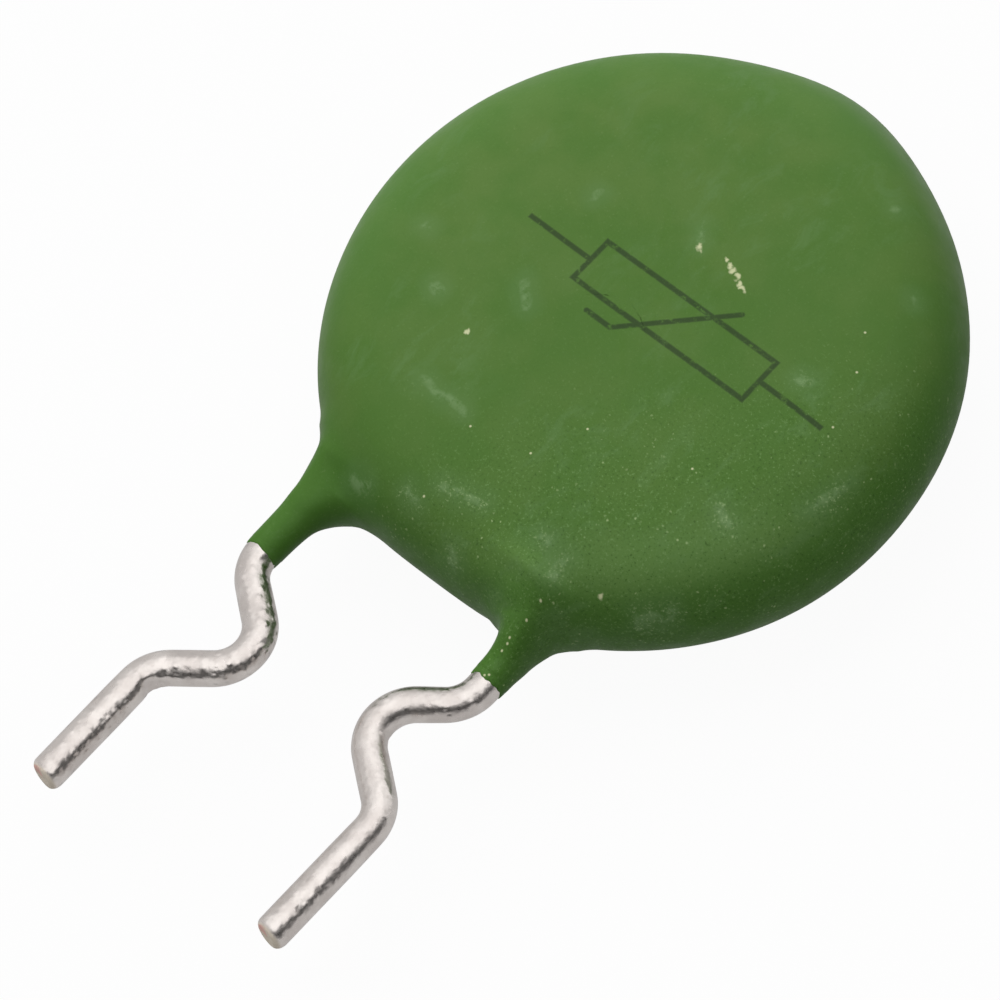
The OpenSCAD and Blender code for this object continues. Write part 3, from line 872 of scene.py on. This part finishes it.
# Cream flakes and smaller specks on the front, and their radius
FLAKE_R, SPECK_R = 0.075, 0.03
FLAKES = [
    (-2.75, -3.13), (-2.67, -3.1), (1.18, 2.39), (1.38, 2.32), (1.5, 2.24), (1.68, 2.14),
    (1.86, 2.06), (1.96, 1.98), (0.3, 2.22), (4.55, -6.33),
]
SPECKS = [
    (5.22, 3.01), (-0.81, -5.09), (-0.66, -7.11), (3.56, -7.43), (3.49, -7.95), (3.31, -8.46),
    (3.33, -8.59), (3.29, -8.78), (5.8, 2.04), (6.34, 0.52), (1.61, -3.36), (0.96, -4.76),
    (4.42, -2.57), (3.4, -9.42), (3.32, -9.5),
]


def dots(paint, plan, places, radius):
    """1 on round dots of one radius, with soft edges."""
    nearest = None
    for x, y in places:
        gap = paint.vector("DISTANCE", plan, (x, y, 0), out="Value")
        nearest = gap if nearest is None else nearest.least(gap)
    return nearest.ramp(radius * 1.5, radius * 0.4)


def film_colour_and_painted_light(paint, at, aside):
    """Green of the bare film, darker towards the picture's lower right, with painted light on the
    lower-right shoulder and on the far side, a painted sheen at the far rim and painted shade on the
    near rim.
    """
    x, y, z = paint.axes(at)
    radius = (x * x + y * y).root()
    shades = paint.noise(at, 0.5, 3, 0.55).ramp(0.34, 0.66)
    fresh = paint.mix(shades, tone(82, 121, 49), tone(92, 126, 57))
    colour = paint.mix(aside.ramp(-7, 5), fresh, paint.mix(0.5, fresh, tone(72, 110, 42)))
    # painted light: a paler band on the lower-right shoulder beside the face
    painted_shoulder_light = aside.ramp(5.8, 7.2) * z.ramp(0.6, 1.5)
    colour = paint.mix(painted_shoulder_light * 0.5, colour, tone(104, 142, 74))
    # painted light: the outer part towards the picture's upper left, the lamp's side, is paler
    painted_far_side_light = radius.ramp(5.5, 8) * aside.ramp(0, -5)
    colour = paint.mix(painted_far_side_light * 0.4, colour, tone(90, 136, 68))
    # painted sheen: a pale bluish grey on the far rim, where the light grazes it
    painted_far_rim_sheen = radius.ramp(7.6, 8.3) * aside.ramp(3, -3)
    colour = paint.mix(painted_far_rim_sheen * 0.45, colour, tone(122, 150, 106))
    # painted shade: a deeper, darker green on the shaded near rim
    painted_near_rim_shade = radius.ramp(7.5, 8.2) * aside.ramp(-1, 3)
    return paint.mix(painted_near_rim_shade * 0.6, colour, tone(66, 112, 34))


def rubbed_colour(paint, at, colour):
    """Cloudy rubs, longer along one way."""
    cloud = paint.noise(paint.position(turn=(0, 0, 0.7), stretch=(1, 0.5, 1)), 1.5, 5, 0.65, 0.6)
    patches = paint.noise(at, 0.33, 2).ramp(0.42, 0.6)
    return paint.mix(cloud.ramp(0.48, 0.7) * patches * 0.38, colour, tone(100, 136, 80))


def dusty_colour(paint, at, grain, worn, colour):
    """Fine light and dark grain and scattered specks of dust, thicker on the worn side."""
    colour = paint.mix(grain.ramp(0.56, 0.7) * (worn * 0.55 + 0.12), colour, tone(120, 156, 92))
    colour = paint.mix(grain.ramp(0.44, 0.3) * (worn * 0.5 + 0.1), colour, tone(46, 78, 22))
    thick = paint.noise(at, 1.1, 3, 0.6).ramp(0.5, 0.64) * (worn * 0.9 + 0.1)
    stir = paint.vector("MULTIPLY", paint.noise(at, 9, 2, out="Color"), (0.12, 0.12, 0.12))
    dust = paint.spots(paint.vector("ADD", at, stir), 5.5).ramp(0.22, 0.08) * thick
    return paint.mix(dust * 0.75, colour, tone(166, 190, 130))


def resin():
    """Satin green dipped resin with painted light and shade, rubs, streaks, dust, flakes and the
    printed sign.
    """
    paint = Paint("green_resin", Specular_IOR_Level=0.13)
    at = paint.position()
    x, y, z = paint.axes(at)
    front = z.ramp(0.15, 0.45)
    # how far a place lies to the picture's lower right, where the resin is more worn; it also places
    # the film's painted light and shade
    aside = x * 0.74 - y * 0.674
    worn = aside.ramp(1.4, 5.6) * x.ramp(-4.5, 0.5)
    grain = paint.noise(at, 13, 3, 0.7)
    colour = film_colour_and_painted_light(paint, at, aside)
    colour = rubbed_colour(paint, at, colour)
    colour = dusty_colour(paint, at, grain, worn, colour)
    # streaks with broken edges, a pale halo and chips beside them
    beside = paint.attribute("streak_gap")
    streaks = beside.ramp(0.17, 0.03) * (paint.noise(at, 4, 4, 0.7).ramp(0.36, 0.6) * front)
    colour = paint.mix(beside.ramp(0.6, 0.1) * front * 0.16, colour, tone(112, 148, 98))
    colour = paint.mix(streaks * 0.45, colour, tone(132, 164, 112))
    chips = beside.ramp(0.32, 0.04) * grain.ramp(0.54, 0.66) * front * worn
    colour = paint.mix(chips * 0.5, colour, tone(160, 184, 128))
    # flakes with ragged edges, and specks
    plan = paint.vector("MULTIPLY", at, (1, 1, 0))
    shift = paint.vector("SUBTRACT", paint.noise(at, 2.6, 3, out="Color"), (0.5, 0.5, 0.5))
    ragged = paint.vector("ADD", plan, paint.vector("MULTIPLY", shift, (0.5, 0.5, 0)))
    flakes = dots(paint, ragged, FLAKES, FLAKE_R).most(dots(paint, plan, SPECKS, SPECK_R))
    colour = paint.mix(flakes * front * 0.85, colour, tone(222, 226, 178))
    patchy = paint.noise(at, 5, 3, 0.7).ramp(0.25, 0.5)
    ink = circuit_sign(paint, plan) * z.ramp(1.2, 1.8) * patchy
    colour = paint.mix(ink * 0.75, colour, tone(40, 54, 34))
    height = (paint.noise(at, 1.1, 3, 0.5) * 0.5 + grain * 0.12 + paint.noise(at, 3.2, 2) * 0.2
              + streaks * 0.15)
    paint.set(Base_Color=colour, Normal=paint.bump(height, 0.3, 0.1 * MM),
              Roughness=paint.noise(at, 1.4, 3).ramp(0.3, 0.7) * 0.12 + 0.42)
    return paint.material


def tinned_wire():
    """Bright tin over copper: small dents, patches of beads, and a bare warm cut face."""
    paint = Paint("tinned_wire")
    at = paint.position()
    x, _, _ = paint.axes(at)
    cut = paint.attribute("cut_end").ramp(0.4, 0.9)
    dents = paint.noise(at, 1.6, 3, 0.55)
    fine = paint.noise(at, 7, 3, 0.6)
    colour = paint.mix(dents.ramp(0.35, 0.7), tone(216, 208, 203), tone(232, 225, 220))
    colour = paint.mix(fine.ramp(0.6, 0.74) * 0.3, colour, tone(190, 180, 172))
    copper = paint.attribute("bare_copper")
    colour = paint.mix(cut, colour, paint.mix(copper, tone(234, 222, 204), tone(244, 182, 172)))
    thick = paint.noise(at, 0.5, 1).ramp(0.42, 0.6) * 0.3 + x.ramp(1, -1) * 0.3 + 0.1
    beads = paint.spots(at, 4.2, "SMOOTH_F1").ramp(0.55, 0.1) * thick
    height = dents * 1.1 + fine * 0.14 + paint.noise(at, 0.55, 2) * 0.6 + beads
    paint.set(Base_Color=colour, Metallic=1 - cut * 0.9,
              Normal=paint.bump(height, 0.5, 0.08 * MM),
              Roughness=fine.ramp(0.3, 0.7) * 0.08 + 0.27 + cut * 0.35)
    return paint.material


def fired_ceramic():
    """Dark sintered ceramic with a fine grain."""
    paint = Paint("fired_ceramic", Roughness=0.8)
    grain = paint.noise(paint.position(), 4, 4, 0.7)
    paint.set(Base_Color=paint.mix(grain.ramp(0.3, 0.7), tone(58, 56, 54), tone(82, 80, 76)),
              Normal=paint.bump(grain, 0.4, 0.05 * MM))
    return paint.material


def fired_silver():
    """Matt silver of the electrodes."""
    paint = Paint("fired_silver", Metallic=0.9)
    grain = paint.noise(paint.position(), 6, 4, 0.6)
    share = grain.ramp(0.3, 0.7)
    paint.set(Base_Color=paint.mix(share, tone(198, 196, 188), tone(222, 220, 214)),
              Roughness=share * 0.15 + 0.5, Normal=paint.bump(grain, 0.3, 0.03 * MM))
    return paint.material


def dull_solder():
    """Grey solder with slow ripples."""
    paint = Paint("dull_solder", Metallic=1.0)
    ripple = paint.noise(paint.position(), 1.5, 3, 0.5, 0.3)
    share = ripple.ramp(0.3, 0.7)
    paint.set(Base_Color=paint.mix(share, tone(164, 164, 166), tone(190, 190, 190)),
              Roughness=share * 0.15 + 0.3, Normal=paint.bump(ripple, 0.4, 0.1 * MM))
    return paint.material


def dress(piece, material):
    piece.data.materials.clear()
    piece.data.materials.append(material)


coating_skin = skin()
dress(coating_skin, resin())
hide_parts("coating")
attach(coating_skin, "root")

wire_finish = tinned_wire()
for node, line, pressed, seed in (
    ("front_lead", FRONT_LINE, 2, 1.0), ("rear_lead", REAR_LINE, 1, 9.0),
):
    wire = lead(node + "_wire", line, pressed, seed)
    dress(wire, wire_finish)
    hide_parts(node)
    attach(wire, "root")

silver_finish, solder_finish = fired_silver(), dull_solder()
dress(frame["nodes"]["ceramic_disc"], fired_ceramic())
for face in ("front", "rear"):
    dress(frame["nodes"][face + "_electrode"], silver_finish)
    dress(frame["nodes"][face + "_solder"], solder_finish)
